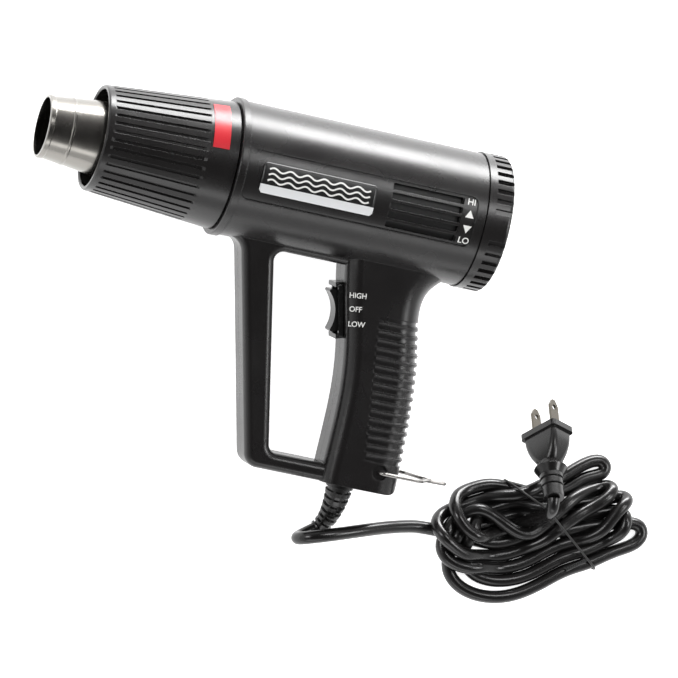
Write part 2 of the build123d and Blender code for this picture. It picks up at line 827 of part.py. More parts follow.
with BuildPart() as plug_body:
    with BuildSketch(PLUG.offset(-3.4)):
        RectangleRounded(24.4, 16.8, 2.2)
    extrude(amount=3.4)
    # body narrows to the waist
    with BuildSketch(PLUG.offset(-3.4)):
        RectangleRounded(21.6, 14.4, 2.0)
    with BuildSketch(PLUG.offset(-11.0)):
        RectangleRounded(20.6, 14.0, 3.0)
    with BuildSketch(PLUG.offset(-20.0)):
        RectangleRounded(12.6, 11.6, 4.8)
    loft()
    # finger ring
    with BuildSketch(PLUG.offset(-20.0)):
        Circle(6.2)
    with BuildSketch(PLUG.offset(-24.0)):
        Circle(9.0)
    loft()
    with BuildSketch(PLUG.offset(-24.0)):
        Circle(9.0)
    with BuildSketch(PLUG.offset(-28.0)):
        Circle(6.6)
    loft()
    # stepped boot
    for start, end, radius in BOOT_STEPS:
        with BuildSketch(PLUG.offset(start)):
            Circle(radius)
        extrude(amount=end - start)

with BuildPart() as plug_blades:
    for side in (-1, 1):
        blade_plane = turned_plane(PLUG, (0, 90, 0)).offset(side * BLADE_SPACING / 2 - BLADE_T / 2)
        with BuildSketch(blade_plane):
            with BuildLine():
                Polyline(
                    (0, -BLADE_W / 2),
                    (-BLADE_L + 3.5, -BLADE_W / 2),
                    (-BLADE_L, -BLADE_W / 2 + 2.0),
                    (-BLADE_L, BLADE_W / 2 - 2.0),
                    (-BLADE_L + 3.5, BLADE_W / 2),
                    (0, BLADE_W / 2),
                    close=True,
                )
            make_face()
            with Locations((-BLADE_L + 4.8, 0)):
                Circle(1.6, mode=Mode.SUBTRACT)
        extrude(amount=BLADE_T)

HANK_LOW, HANK_HIGH = 11.5, 28.0    # height at the fanned left end, and at the tie
HANK_OUTLINE = (
    (122.2, -103.5),
    (129.5, -120.0),
    (141.0, -134.0),
    (159.0, -140.0),
    (180.0, -138.0),
    (200.0, -126.5),
    (217.0, -110.5),
    (236.0, -101.5),
    (250.5, -91.0),
    (248.0, -78.0),
    (233.0, -65.0),
    (218.0, -52.0),
    (206.0, -49.5),
    (190.0, -57.0),
    (172.0, -70.0),
    (155.0, -76.5),
    (140.0, -82.0),
    (129.0, -91.0),
)

with BuildPart() as cord_hank:
    # outer shape of the loosely tied hank: flat at its left end, high at the tie
    with BuildSketch():
        with BuildLine():
            Spline(*HANK_OUTLINE, periodic=True)
        make_face()
        with Locations(Location((158.0, -99.0), -12)):
            Ellipse(13.0, 6.5, mode=Mode.SUBTRACT)
    extrude(amount=HANK_HIGH)
    with BuildSketch(Plane.XY.offset(HANK_LOW)):
        with Locations((120.0, -100.0)):
            Rectangle(58.0, 100.0)
    extrude(amount=40.0, mode=Mode.SUBTRACT)
    # room for the plug that leans on it
    with BuildSketch(PLUG.offset(-PLUG_LENGTH + 5)):
        Circle(11.0)
    extrude(amount=PLUG_LENGTH + 10, mode=Mode.SUBTRACT)
    # the cord's end goes into it
    add(cord.part, mode=Mode.SUBTRACT)

TIE_R = 0.8
TIE_START, TIE_END = (157.6, -72.4), (222.6, -109.8)

with BuildPart() as cord_tie:
    # wire tie standing over the hank
    with BuildLine() as tie_line:
        FilletPolyline(
            (*TIE_START, TIE_R),
            (*TIE_START, HANK_HIGH + TIE_R),
            (*TIE_END, HANK_HIGH + TIE_R),
            (*TIE_END, TIE_R),
            radius=(3.0, 3.0),
        )
    with BuildSketch(Plane(origin=tie_line.line @ 0, z_dir=tie_line.line % 0)):
        Circle(TIE_R)
    sweep()


# ------------------------------------------------------------ write the parts
GUN_PIECES = {
    "housing_left": housing_left.part,
    "housing_right": housing_right.part,
    "housing_screws": housing_screws.part,
    "nozzle": nozzle.part,
    "nozzle_guard": nozzle_guard.part,
    "guard_label": guard_label.part,
    "name_plate": name_plate.part,
    "rear_cap": rear_cap.part,
    "intake_plate": intake_plate.part,
    "switch_body": switch_body.part,
    "rocker": rocker.part,
    "switch_terminals": switch_terminals.part,
    "wire_stand": wire_stand.part,
    "motor_can": motor_can.part,
    "motor_end_cap": motor_end_cap.part,
    "motor_magnets": motor_magnets.part,
    "motor_bushes": motor_bushes.part,
    "motor_shaft": motor_shaft,
    "rotor_core": rotor_core,
    "commutator": commutator,
    "impeller": impeller.part,
    "motor_mount": motor_mount.part,
    "rectifier_board": rectifier_board.part,
    "rectifier_diodes": rectifier_diodes.part,
    "heater_sleeve": heater_sleeve.part,
    "heater_support": heater_support.part,
    "heater_coils": heater_coils.part,
    "heater_plate": heater_plate.part,
    "thermal_cutout": thermal_cutout.part,
    "air_duct": air_duct.part,
    "mains_lead": mains_lead.part,
    "lead_wires": lead_wires.part,
    "cord_clamp": cord_clamp.part,
    "cord_clamp_screws": cord_clamp_screws.part,
}
CORD_PIECES = {
    "strain_relief": strain_relief.part,
    "cord": cord.part,
    "cord_hank": cord_hank.part,
    "cord_tie": cord_tie.part,
    "plug_body": plug_body.part,
    "plug_blades": plug_blades.part,
}

os.makedirs("parts", exist_ok=True)
for name, piece in GUN_PIECES.items():
    laid = piece.moved(LYING)
    laid.label = name
    export_step(laid, f"parts/{name}.step")
for name, piece in CORD_PIECES.items():
    piece.label = name
    export_step(piece, f"parts/{name}.step")

radii = printed_radii(CORD_ROUTE)
print("cord bend radii, mm:", ", ".join(f"{radius:.1f}" for radius in radii))
tube_length = sum(edge.length for edge in cord_line.edges())
print("cord tube length, mm:", round(tube_length, 1))
print("cord volume against section x length:",
      round(cord.part.volume / (pi * CORD_R**2 * tube_length), 4))
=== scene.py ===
import math

import bpy
import numpy as np
from mathutils import Matrix, Vector


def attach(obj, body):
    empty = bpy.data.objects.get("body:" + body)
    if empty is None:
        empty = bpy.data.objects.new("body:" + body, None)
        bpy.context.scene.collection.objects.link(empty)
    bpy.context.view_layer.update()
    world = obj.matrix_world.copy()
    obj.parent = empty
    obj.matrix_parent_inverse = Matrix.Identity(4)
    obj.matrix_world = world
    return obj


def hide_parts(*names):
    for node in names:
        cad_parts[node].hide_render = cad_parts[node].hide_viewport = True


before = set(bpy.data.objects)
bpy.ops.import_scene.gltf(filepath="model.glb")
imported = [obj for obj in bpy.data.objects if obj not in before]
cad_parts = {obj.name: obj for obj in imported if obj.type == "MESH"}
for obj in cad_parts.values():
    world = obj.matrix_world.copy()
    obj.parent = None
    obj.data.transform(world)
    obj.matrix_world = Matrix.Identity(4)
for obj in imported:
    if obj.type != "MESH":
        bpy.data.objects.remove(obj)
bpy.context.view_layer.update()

# The gun lies on its side. Its own axes, in the row frame: X along the barrel to
# the rear, Z from the foot of the handle to the barrel, Y to the gun's right.
CAD_CENTRE = (0.1292, -0.05793)
FLANGE_R = 0.037
LIE_TILT = math.radians(7.5233)


def row_vector(x, y, z):
    """A direction in the gun's own axes, turned into the row frame."""
    c, s = math.cos(LIE_TILT), math.sin(LIE_TILT)
    return Vector((x, y * s + z * c, -y * c + z * s))


def row_point(x, y, z):
    """A point in the gun's own axes, in metres, turned into the row frame."""
    return row_vector(x, y, z) + Vector((-CAD_CENTRE[0], -CAD_CENTRE[1], FLANGE_R))


# ------------------------------------------------------------------- camera
VIEW_YAW = math.radians(15.65)
VIEW_PITCH = math.radians(3.5)
VIEW_ROLL = math.radians(12.95)
VIEW_TARGET = (0.1825, 0.0, -0.0768)
VIEW_DISTANCE = 3.0
LENS, SENSOR_WIDTH = 300.0, 36.0     # millimetres


def make_camera():
    """The photograph's view: nearly square on to the gun's left side."""
    to_camera = Vector((
        -math.sin(VIEW_YAW) * math.cos(VIEW_PITCH),
        -math.cos(VIEW_YAW) * math.cos(VIEW_PITCH),
        math.sin(VIEW_PITCH),
    ))
    level = Vector((math.cos(VIEW_YAW), -math.sin(VIEW_YAW), 0.0))
    upright = to_camera.cross(level)
    c, s = math.cos(VIEW_ROLL), math.sin(VIEW_ROLL)
    back = row_vector(*to_camera)
    right = row_vector(*(level * c + upright * s))
    up = row_vector(*(upright * c - level * s))
    data = bpy.data.cameras.new("camera")
    data.lens = LENS
    data.sensor_width = SENSOR_WIDTH
    data.clip_start, data.clip_end = 0.05, 60.0
    camera = bpy.data.objects.new("camera", data)
    place = Matrix((right, up, back)).transposed().to_4x4()
    place.translation = row_point(*VIEW_TARGET) + back * VIEW_DISTANCE
    camera.matrix_world = place
    bpy.context.collection.objects.link(camera)
    bpy.context.scene.camera = camera


make_camera()


# ---------------------------------------------------------------- materials
NOISE_LOW, NOISE_HIGH = 0.3, 0.7     # most values of a noise texture lie between these
SMUDGE_SCALE = 38.0                  # smudges some centimetres across
PLASTIC_GRAIN_DEPTH = 0.0001
METAL_GRAIN_DEPTH = 0.00005


def new_material(name):
    """A new material, with its nodes, links and shader."""
    material = bpy.data.materials.new(name)
    material.use_nodes = True
    nodes = material.node_tree.nodes
    return material, nodes, material.node_tree.links, nodes["Principled BSDF"]


def noise_texture(nodes, links, scale, detail):
    """Noise laid out in the object's own space."""
    place = nodes.new("ShaderNodeTexCoord")
    noise = nodes.new("ShaderNodeTexNoise")
    noise.inputs["Scale"].default_value = scale
    noise.inputs["Detail"].default_value = detail
    links.new(place.outputs["Object"], noise.inputs["Vector"])
    return noise


def vary_gloss(nodes, links, shader, noise, low, high):
    """Lets the roughness wander between two values with the noise."""
    gloss = nodes.new("ShaderNodeMapRange")
    gloss.inputs["From Min"].default_value = NOISE_LOW
    gloss.inputs["From Max"].default_value = NOISE_HIGH
    gloss.inputs["To Min"].default_value = low
    gloss.inputs["To Max"].default_value = high
    links.new(noise.outputs["Fac"], gloss.inputs["Value"])
    links.new(gloss.outputs["Result"], shader.inputs["Roughness"])


def add_bump(nodes, links, shader, noise, strength, depth):
    """Raises the surface a little with the noise."""
    bump = nodes.new("ShaderNodeBump")
    bump.inputs["Strength"].default_value = strength
    bump.inputs["Distance"].default_value = depth
    links.new(noise.outputs["Fac"], bump.inputs["Height"])
    links.new(bump.outputs["Normal"], shader.inputs["Normal"])
    return bump


def plastic(name, colour, roughness, spread, grain, grain_size, edge=0.0004):
    """Moulded black plastic: fine grain, soft smudges in its gloss, rounded edges."""
    material, nodes, links, shader = new_material(name)
    shader.inputs["Base Color"].default_value = (*colour, 1.0)
    smudge = noise_texture(nodes, links, SMUDGE_SCALE, 4.0)
    vary_gloss(nodes, links, shader, smudge, roughness - spread, roughness + spread)
    texture = noise_texture(nodes, links, 1.0 / grain_size, 2.0)
    bump = add_bump(nodes, links, shader, texture, grain, PLASTIC_GRAIN_DEPTH)
    rounded = nodes.new("ShaderNodeBevel")
    rounded.samples = 4
    rounded.inputs["Radius"].default_value = edge
    links.new(rounded.outputs["Normal"], bump.inputs["Normal"])
    return material


def metal(name, colour, roughness, spread=0.3, grain=0.05, scale=900.0):
    """Bare metal whose gloss and surface vary a little from place to place."""
    material, nodes, links, shader = new_material(name)
    shader.inputs["Base Color"].default_value = (*colour, 1.0)
    shader.inputs["Metallic"].default_value = 1.0
    marks = noise_texture(nodes, links, scale, 3.0)
    vary_gloss(nodes, links, shader, marks, roughness * (1 - spread), roughness * (1 + spread))
    add_bump(nodes, links, shader, marks, grain, METAL_GRAIN_DEPTH)
    return material


def plain(name, colour, roughness, metallic=0.0):
    """Even finish for small pieces, and for those seen only through openings."""
    material, _, _, shader = new_material(name)
    shader.inputs["Base Color"].default_value = (*colour, 1.0)
    shader.inputs["Roughness"].default_value = roughness
    shader.inputs["Metallic"].default_value = metallic
    return material


BODY = plastic("body plastic", (0.0078, 0.0070, 0.0071), 0.27, 0.04, 0.30, 0.0005, edge=0.0006)
GUARD = plastic("guard plastic", (0.0088, 0.0080, 0.0080), 0.26, 0.04, 0.12, 0.0008, edge=0.0003)
SWITCH = plastic("switch plastic", (0.008, 0.008, 0.008), 0.20, 0.04, 0.05, 0.001)
CORD_SKIN = plastic("cord skin", (0.0065, 0.006, 0.006), 0.23, 0.04, 0.12, 0.0015)
# near-black sheet material set behind the vents: painted shade for the dark inside of the
# housing
VENT_SHADE = plastic("painted vent shade", (0.003, 0.003, 0.003), 0.5, 0.05, 0.8, 0.0011)
STEEL = metal("nozzle steel", (0.26, 0.25, 0.232), 0.23, spread=0.12, grain=0.01, scale=140.0)
WIRE = metal("stand wire", (0.30, 0.29, 0.28), 0.22)
ZINC = metal("zinc", (0.60, 0.60, 0.61), 0.34, grain=0.15)
BLADE = metal("plug blades", (0.11, 0.10, 0.085), 0.20)
TIE = plain("tie wire", (0.012, 0.012, 0.012), 0.35)
INNER = plain("inner plastic", (0.03, 0.03, 0.031), 0.5)
MICA = plain("mica", (0.36, 0.30, 0.22), 0.6)
CERAMIC = plain("ceramic", (0.75, 0.72, 0.66), 0.7)
COPPER = plain("copper", (0.72, 0.38, 0.22), 0.35, 1.0)
BRASS = plain("brass", (0.75, 0.57, 0.28), 0.35, 1.0)
DARK_STEEL = plain("laminations", (0.20, 0.20, 0.21), 0.45, 1.0)
BOARD = plain("board", (0.05, 0.11, 0.04), 0.5)
LEAD = plain("lead", (0.4, 0.4, 0.4), 0.5)
WHITE_INK = plain("white ink", (0.78, 0.78, 0.76), 0.45)
RED_LABEL = plain("red film", (0.42, 0.010, 0.018), 0.3)

NODE_MATERIALS = {
    BODY: ("housing_left", "housing_right"),
    GUARD: ("nozzle_guard", "rear_cap"),
    SWITCH: ("switch_body", "rocker"),
    CORD_SKIN: ("strain_relief", "plug_body", "mains_lead"),
    STEEL: ("nozzle",),
    WIRE: ("wire_stand",),
    ZINC: ("housing_screws", "motor_can", "cord_clamp_screws", "thermal_cutout"),
    BLADE: ("plug_blades",),
    INNER: (
        "intake_plate", "motor_end_cap", "impeller", "motor_mount",
        "rectifier_diodes", "cord_clamp",
    ),
    MICA: ("heater_sleeve", "heater_support", "air_duct"),
    CERAMIC: ("heater_plate",),
    COPPER: ("commutator",),
    BRASS: ("switch_terminals", "motor_bushes"),
    DARK_STEEL: ("motor_magnets", "motor_shaft", "rotor_core", "heater_coils"),
    BOARD: ("rectifier_board",),
    LEAD: ("lead_wires",),
    RED_LABEL: ("guard_label",),
}
for material, names in NODE_MATERIALS.items():
    for name in names:
        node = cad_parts[name]
        node.data.materials.clear()
        node.data.materials.append(material)


# --------------------------------------------------------------- cord, hank
CORD_D = 0.007
CORD_STEP = 0.005             # spacing of the points that settle
RELIEF_END = (0.0663, -0.1188, 0.0047)
CORD_ROUTE = (
    RELIEF_END,
    (0.0590, -0.1239, 0.0042),    # sharp fold, up and back over the relief's end
    (0.0551, -0.1261, 0.0120),
    (0.0593, -0.1246, 0.0198),
    (0.0715, -0.1208, 0.0203),
    (0.0865, -0.1159, 0.0170),
    (0.1030, -0.1108, 0.0105),
    (0.1190, -0.1070, 0.0052),
    (0.1285, -0.1049, 0.0040),    # into the hank
)
HANK_CENTRE = (0.1837, -0.0901)
HANK_TURN = math.radians(22.0)


def hank_point(s, t, z):
    """A point s millimetres along the hank, t across it and z above the table."""
    cosine, sine = math.cos(HANK_TURN), math.sin(HANK_TURN)
    x = HANK_CENTRE[0] + (s * cosine - t * sine) / 1000
    y = HANK_CENTRE[1] + (s * sine + t * cosine) / 1000
    return x, y, z / 1000


# Turns of the hank from the table up, in millimetres: right end (s, t, half
# width), near strand's t at three places, left end (s, t), far strand's t at
# two places, height that the turn starts from.
TURNS = (
    ((62, -17, 6.5), (-28, -38, -39), (-53, -12), (3, -3), 4),
    ((54, -10, 5.5), (-24, -30, -28), (-40, 1), (9, 4), 12),
    ((57, -1.5, 5.5), (-18, -25, -26), (-54, -8), (4, -3), 20),
    ((49, 7.5, 5.0), (-5, -10, -11.5), (-57, 4), (11, 9), 28),
)
NEAR_S = (12, -8, -23)        # where the near strand's t is given
FAR_S = (-20, 8)              # where the far strand's t is given
RIGHT_ANGLES = (70, 35, 0, -35, -70)
RIGHT_STRETCH = 1.3           # the right loops are this much longer than round
LEFT_START = -26              # s at which the left loops begin
LEFT_ANGLES = (-65, -35, 0, 35, 65)
LOOP_RISE, FAR_RISE = 4, 6    # climb round the left loop, and of the far strand
FIRST_STRAND = ((-38, 0, 4), (-18, -5, 4), (8, -10, 4), (32, -11, 4))
LAST_TURN = (
    (27, 15, 33), (40, 19.5, 34), (48, 19.5, 34), (50, 14, 34), (41, 9.5, 34),
    (30, 7.5, 32), (17, 6, 30), (4.5, 6.5, 28), (-8.7, 10.5, 32), (-20.6, 15, 36),
    (-32, 15.5, 38), (-42, 11, 36), (-44.5, 3, 30), (-39, -4, 22), (-28, -5.5, 16),
    (-14, -3, 12), (-5, -1, 12),
)
PLUG_HEADING, PLUG_PITCH = math.radians(96.0), math.radians(-32.0)
PLUG_FACE = np.array((0.1806, -0.0431, 0.0148))
PLUG_LENGTH = 0.042
plug_axis = np.array((
    math.cos(PLUG_PITCH) * math.cos(PLUG_HEADING),
    math.cos(PLUG_PITCH) * math.sin(PLUG_HEADING),
    math.sin(PLUG_PITCH),
))
boot_end = PLUG_FACE - plug_axis * PLUG_LENGTH
# How the cord comes up to the plug: distance behind the boot, and drop from its axis.
BOOT_ROUTE = ((0.011, 0.017), (0.010, 0.010), (0.0065, 0.0035), (0.002, 0.0), (0.0, 0.0))


def hank_layout():
    """Points along the hank before it settles, turn upon turn."""
    points = [hank_point(*p) for p in FIRST_STRAND]
    for (right_s, right_t, width), near, (left_s, left_t), far, level in TURNS:
        for angle in RIGHT_ANGLES:
            a = math.radians(angle)
            points.append(hank_point(
                right_s - RIGHT_STRETCH * width * (1 - math.cos(a)),
                right_t + width * math.sin(a),
                level,
            ))
        for s, t in zip(NEAR_S, near):
            points.append(hank_point(s, t, level))
        middle, half = (far[0] + near[2]) / 2, (far[0] - near[2]) / 2
        for angle in LEFT_ANGLES:
            a = math.radians(angle)
            share = (angle - LEFT_ANGLES[0]) / (LEFT_ANGLES[-1] - LEFT_ANGLES[0])
            points.append(hank_point(
                LEFT_START + (left_s - LEFT_START) * math.cos(a),
                middle + half * math.sin(a) + (left_t - middle) * math.cos(a),
                level + share * LOOP_RISE,
            ))
        for s, t in zip(FAR_S, far):
            points.append(hank_point(s, t, level + FAR_RISE))
    points += [hank_point(*p) for p in LAST_TURN]
    for behind, drop in BOOT_ROUTE:
        points.append(boot_end - plug_axis * behind - np.array((0, 0, drop)))
    return points


SPAN_STEPS = 12               # points worked out between two given ones


def evenly(points, step):
    """Points step apart along a smooth curve through the given ones."""
    p = np.asarray(points, float)
    p = np.vstack([2 * p[0] - p[1], p, 2 * p[-1] - p[-2]])
    u = np.linspace(0, 1, SPAN_STEPS, endpoint=False)[:, None]
    fine = []
    for a, b, c, d in zip(p, p[1:], p[2:], p[3:]):
        cubic = -a + 3 * b - 3 * c + d
        square = 2 * a - 5 * b + 4 * c - d
        fine.append(0.5 * (2 * b + (c - a) * u + square * u**2 + cubic * u**3))
    fine = np.vstack(fine + [p[-2][None]])
    along = np.r_[0, np.cumsum(np.linalg.norm(np.diff(fine, axis=0), axis=1))]
    marks = np.linspace(0, along[-1], int(along[-1] / step) + 1)
    return np.stack([np.interp(marks, along, fine[:, k]) for k in range(3)], axis=1)


SETTLE_ROUNDS = 900
SINK = 0.00012                # how far the free points drop in one round
STIFFNESS, STRAIGHTENING = 0.25, 0.03
HOMING = 0.01                 # pull towards the first layout, as seen from above
SHARPEST_BEND = 0.0020        # how far a point may stand off the middle of its neighbours
BEND_EASE, SPACING_PULL = 0.5, 0.2
STRAND_GAP = CORD_D * 1.015   # distance that strands are pushed apart to
NEAR_POINTS = 3               # points this close along the cord don't push each other


def bend_move(p):
    """How the points move to open the bends that are too tight."""
    corner = (p[:-2] + p[2:]) / 2 - p[1:-1]
    depth = np.linalg.norm(corner, axis=1)
    excess = np.clip(1 - SHARPEST_BEND / np.maximum(depth, 1e-9), 0, 1)
    ease = corner * (BEND_EASE * excess)[:, None]
    move = np.zeros_like(p)
    move[1:-1] += ease
    move[:-2] -= ease / 2
    move[2:] -= ease / 2
    return move


def spacing_move(p, spacing):
    """How the points move to keep their spacing along the cord."""
    run = p[1:] - p[:-1]
    length = np.linalg.norm(run, axis=1)
    pull = ((length - spacing) / length * SPACING_PULL)[:, None] * run
    move = np.zeros_like(p)
    move[:-1] += pull
    move[1:] -= pull
    return move


def contact_move(p, first, second):
    """How the points move to part the strands that overlap, pair by pair."""
    gap = p[first] - p[second]
    squared = (gap * gap).sum(axis=1)
    touching = squared < STRAND_GAP**2
    a, b = first[touching], second[touching]
    distance = np.sqrt(squared[touching]) + 1e-9
    push = ((STRAND_GAP - distance) / distance * 0.5)[:, None] * gap[touching]
    move = np.zeros_like(p)
    hits = np.zeros(len(p))
    np.add.at(move, a, push)
    np.add.at(move, b, -push)
    np.add.at(hits, a, 1)
    np.add.at(hits, b, 1)
    return move / np.clip(hits, 1, 2)[:, None]


def settle(p, held_first, held_last):
    """Lets the cord's turns sink until they lie on the table and on each other.

    Each round lowers every free point a little, stiffens the bends, opens those
    that are too tight, keeps the spacing along the cord, and pushes apart the
    strands that overlap."""
    home = p.copy()
    count = len(p)
    free = np.ones(count, bool)
    free[:held_first] = False
    free[count - held_last:] = False
    spacing = np.median(np.linalg.norm(np.diff(p, axis=0), axis=1))
    first, second = np.triu_indices(count, NEAR_POINTS)
    for _ in range(SETTLE_ROUNDS):
        p[free, 2] -= SINK
        bend = np.zeros_like(p)
        bend[1:-1] = (p[:-2] + p[2:]) / 2 - p[1:-1]
        stiff = np.zeros_like(p)
        stiff[1:-1] = bend[1:-1] - 0.5 * (bend[:-2] + bend[2:])
        p[free] += STIFFNESS * stiff[free] + STRAIGHTENING * bend[free]
        p[free, :2] += HOMING * (home[free, :2] - p[free, :2])
        for _ in range(2):
            p[free] += bend_move(p)[free]
            p[free] += spacing_move(p, spacing)[free]
            p[free] += contact_move(p, first, second)[free]
            p[free, 2] = np.maximum(p[free, 2], CORD_D / 2)
    return p


def make_curve(name, points, radius, material, cyclic=False):
    """A round wire or cord along one spline."""
    curve = bpy.data.curves.new(name, "CURVE")
    curve.dimensions = "3D"
    curve.bevel_depth = radius
    curve.bevel_resolution = 8
    curve.resolution_u = 6
    curve.use_fill_caps = True
    spline = curve.splines.new("NURBS")
    spline.points.add(len(points) - 1)
    for point, place in zip(spline.points, points):
        point.co = (*place, 1.0)
    spline.order_u = 3
    spline.use_endpoint_u = not cyclic
    spline.use_cyclic_u = cyclic
    curve.materials.append(material)
    made = bpy.data.objects.new(name, curve)
    bpy.context.collection.objects.link(made)
    return made


def nurbs_length(points):
    """Length of the uniform quadratic spline through these control points."""
    p = np.asarray(points)
    middle = (p[1:] + p[:-1]) / 2
    knots = np.vstack([p[:1], middle[1:-1], p[-1:]])
    u = np.linspace(0, 1, 9)[:, None]
    line = [
        (1 - u) ** 2 * a + 2 * u * (1 - u) * b + u**2 * c
        for a, b, c in zip(knots, p[1:-1], knots[1:])
    ]
    return np.linalg.norm(np.diff(np.vstack(line), axis=0), axis=1).sum()


HELD_AT_PLUG = 3              # points that stay with the plug
start = evenly(list(CORD_ROUTE) + hank_layout(), CORD_STEP)
into_hank = int(np.argmin(np.linalg.norm(start - np.array(CORD_ROUTE[-1]), axis=1)))
settled = settle(start, into_hank - 2, HELD_AT_PLUG)
cord_points = list(CORD_ROUTE[:-1]) + list(settled[into_hank:])
cord = make_curve("cord_lead", cord_points, CORD_D / 2, CORD_SKIN)
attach(cord, "gun")
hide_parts("cord", "cord_hank")
print("cord length, m:", round(float(nurbs_length(cord_points)), 3))


# ------------------------------------------------------------------ wire tie
TIE_FROM = hank_point(-6, 17.5, 0)
TIE_TO = hank_point(26, -27, 0)
TIE_R = 0.0006
TWIST_FROM = Vector(hank_point(26, -28, 8.4))
TWIST_TO = Vector(hank_point(14, -31, 8.2))
TWIST_TURNS = 5
TIE_NEAR = 0.0045             # strands this close to the tie's plane lie inside its loop
TIE_PAST = 0.006              # how far past its ends strands still count


def outline(points):
    """Convex outline of flat points, counter-clockwise."""
    ordered = sorted(set(map(tuple, np.round(points, 6))))
    sides = []
    for run in (ordered, ordered[::-1]):
        side = []
        for p in run:
            while len(side) > 1:
                (ax, ay), (bx, by) = side[-2], side[-1]
                if (bx - ax) * (p[1] - ay) - (by - ay) * (p[0] - ax) > 0:
                    break
                side.pop()
            side.append(p)
        sides += side[:-1]
    return sides


def make_tie():
    """Thin coated wire pulled round all the strands, with its ends twisted."""
    first, last = np.array(TIE_FROM[:2]), np.array(TIE_TO[:2])
    width = np.linalg.norm(last - first)
    along = (last - first) / width
    across = np.array((-along[1], along[0]))
    reach = CORD_D / 2 + TIE_R
    flat = []
    for p in settled[into_hank:-HELD_AT_PLUG - 1]:
        offset = (p[:2] - first) @ across
        place = (p[:2] - first) @ along
        if abs(offset) < TIE_NEAR and -TIE_PAST < place < width + TIE_PAST:
            for angle in range(0, 360, 20):
                a = math.radians(angle)
                flat.append((place + reach * math.cos(a), p[2] + reach * math.sin(a)))
    loop = outline(flat)
    loop = [(s, max(h, TIE_R)) for s, h in loop]
    points = [(*(first + along * s), h) for s, h in loop]
    made = [make_curve("tie_loop", points, TIE_R, TIE, cyclic=True)]
    # the two ends, twisted together and laid down on the nearest strand
    heading = TWIST_TO - TWIST_FROM
    side = heading.cross(Vector((0, 0, 1))).normalized()
    steps = 10 * TWIST_TURNS
    for number, phase in enumerate((0.0, math.pi)):
        twist = []
        for step in range(steps + 1):
            turn = phase + 2 * math.pi * TWIST_TURNS * step / steps
            lift = side * math.cos(turn) + Vector((0, 0, math.sin(turn)))
            twist.append(TWIST_FROM + heading * step / steps + lift * TIE_R)
        made.append(make_curve(f"tie_end_{number}", twist, TIE_R * 0.9, TIE))
    return made


for piece in make_tie():
    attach(piece, "gun")
    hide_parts("cord_tie")


# ------------------------------------------------------------ label, markings
BARREL_PANEL_R = 0.0352
PLATE_COLUMNS, PLATE_ROWS = 48, 16
PLATE_T = 0.0003
LABEL_X, LABEL_HALF_H = (0.1123, 0.1749), 0.0082
LABEL_CORNER, LABEL_LIFT = 0.0016, 0.0004
BAND_SHARE = 0.29             # share of the label's height that is the silver band
SILVER, BLACK = (0.72, 0.73, 0.74, 1.0), (0.008, 0.008, 0.008, 1.0)


def label_material():
    """Black field over a silver band."""
    material, nodes, links, shader = new_material("label")
    shader.inputs["Roughness"].default_value = 0.28
    layout = nodes.new("ShaderNodeUVMap")
    layout.uv_map = "plate"
    split = nodes.new("ShaderNodeSeparateXYZ")
    links.new(layout.outputs["UV"], split.inputs["Vector"])
    ramp = nodes.new("ShaderNodeValToRGB")
    ramp.color_ramp.interpolation = "CONSTANT"
    ramp.color_ramp.elements[0].color = SILVER
    ramp.color_ramp.elements[1].position = BAND_SHARE
    ramp.color_ramp.elements[1].color = BLACK
    links.new(split.outputs["Y"], ramp.inputs["Fac"])
    links.new(ramp.outputs["Color"], shader.inputs["Base Color"])
    return material


def on_panel(x, z, lift=0.0):
    """Point over the left panel's curved floor, from the gun's own x and z."""
    radius = BARREL_PANEL_R + lift
    return row_point(x, -radius * math.cos(z / radius), radius * math.sin(z / radius))


def curved_plate(name, span, half_height, corner, lift, material):
    """Thin plate with rounded corners, wrapped round the barrel at the left panel."""
    mesh = bpy.data.meshes.new(name)
    (x0, x1), z0, z1 = span, -half_height, half_height
    vertices, faces, flat = [], [], []
    for i in range(PLATE_COLUMNS + 1):
        x = x0 + (x1 - x0) * i / PLATE_COLUMNS
        inside = min(x - x0, x1 - x)
        cut = 0.0
        if inside < corner:
            cut = corner - math.sqrt(corner**2 - (corner - inside) ** 2)
        for j in range(PLATE_ROWS + 1):
            z = z0 + cut + (z1 - z0 - 2 * cut) * j / PLATE_ROWS
            vertices.append(on_panel(x, z, lift))
            flat.append(((x - x0) / (x1 - x0), (z - z0) / (z1 - z0)))
    for i in range(PLATE_COLUMNS):
        for j in range(PLATE_ROWS):
            a = i * (PLATE_ROWS + 1) + j
            b = a + PLATE_ROWS + 1
            faces.append((a, b, b + 1, a + 1))
    mesh.from_pydata(vertices, [], faces)
    layer = mesh.uv_layers.new(name="plate")
    for loop in mesh.loops:
        layer.data[loop.index].uv = flat[loop.vertex_index]
    for face in mesh.polygons:
        face.use_smooth = True
    mesh.materials.append(material)
    made = bpy.data.objects.new(name, mesh)
    bpy.context.collection.objects.link(made)
    solid = made.modifiers.new("thickness", "SOLIDIFY")
    solid.thickness = PLATE_T
    solid.offset = 1.0
    return made


plate = curved_plate(
    "label_plate", LABEL_X, LABEL_HALF_H, LABEL_CORNER, LABEL_LIFT, label_material()
)
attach(plate, "gun")
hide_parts("name_plate")


def panel_strip(name, line, width, lift, material):
    """Flat line of ink on the panel along (x, z) points."""
    vertices, faces = [], []
    for k, (x, z) in enumerate(line):
        before, after = line[max(k - 1, 0)], line[min(k + 1, len(line) - 1)]
        dx, dz = after[0] - before[0], after[1] - before[1]
        size = math.hypot(dx, dz)
        nx, nz = -dz / size * width / 2, dx / size * width / 2
        vertices.append(on_panel(x + nx, z + nz, lift))
        vertices.append(on_panel(x - nx, z - nz, lift))
        if k:
            a = 2 * k
            faces.append((a - 2, a - 1, a + 1, a))
    mesh = bpy.data.meshes.new(name)
    mesh.from_pydata(vertices, [], faces)
    mesh.materials.append(material)
    made = bpy.data.objects.new(name, mesh)
    bpy.context.collection.objects.link(made)
    return made


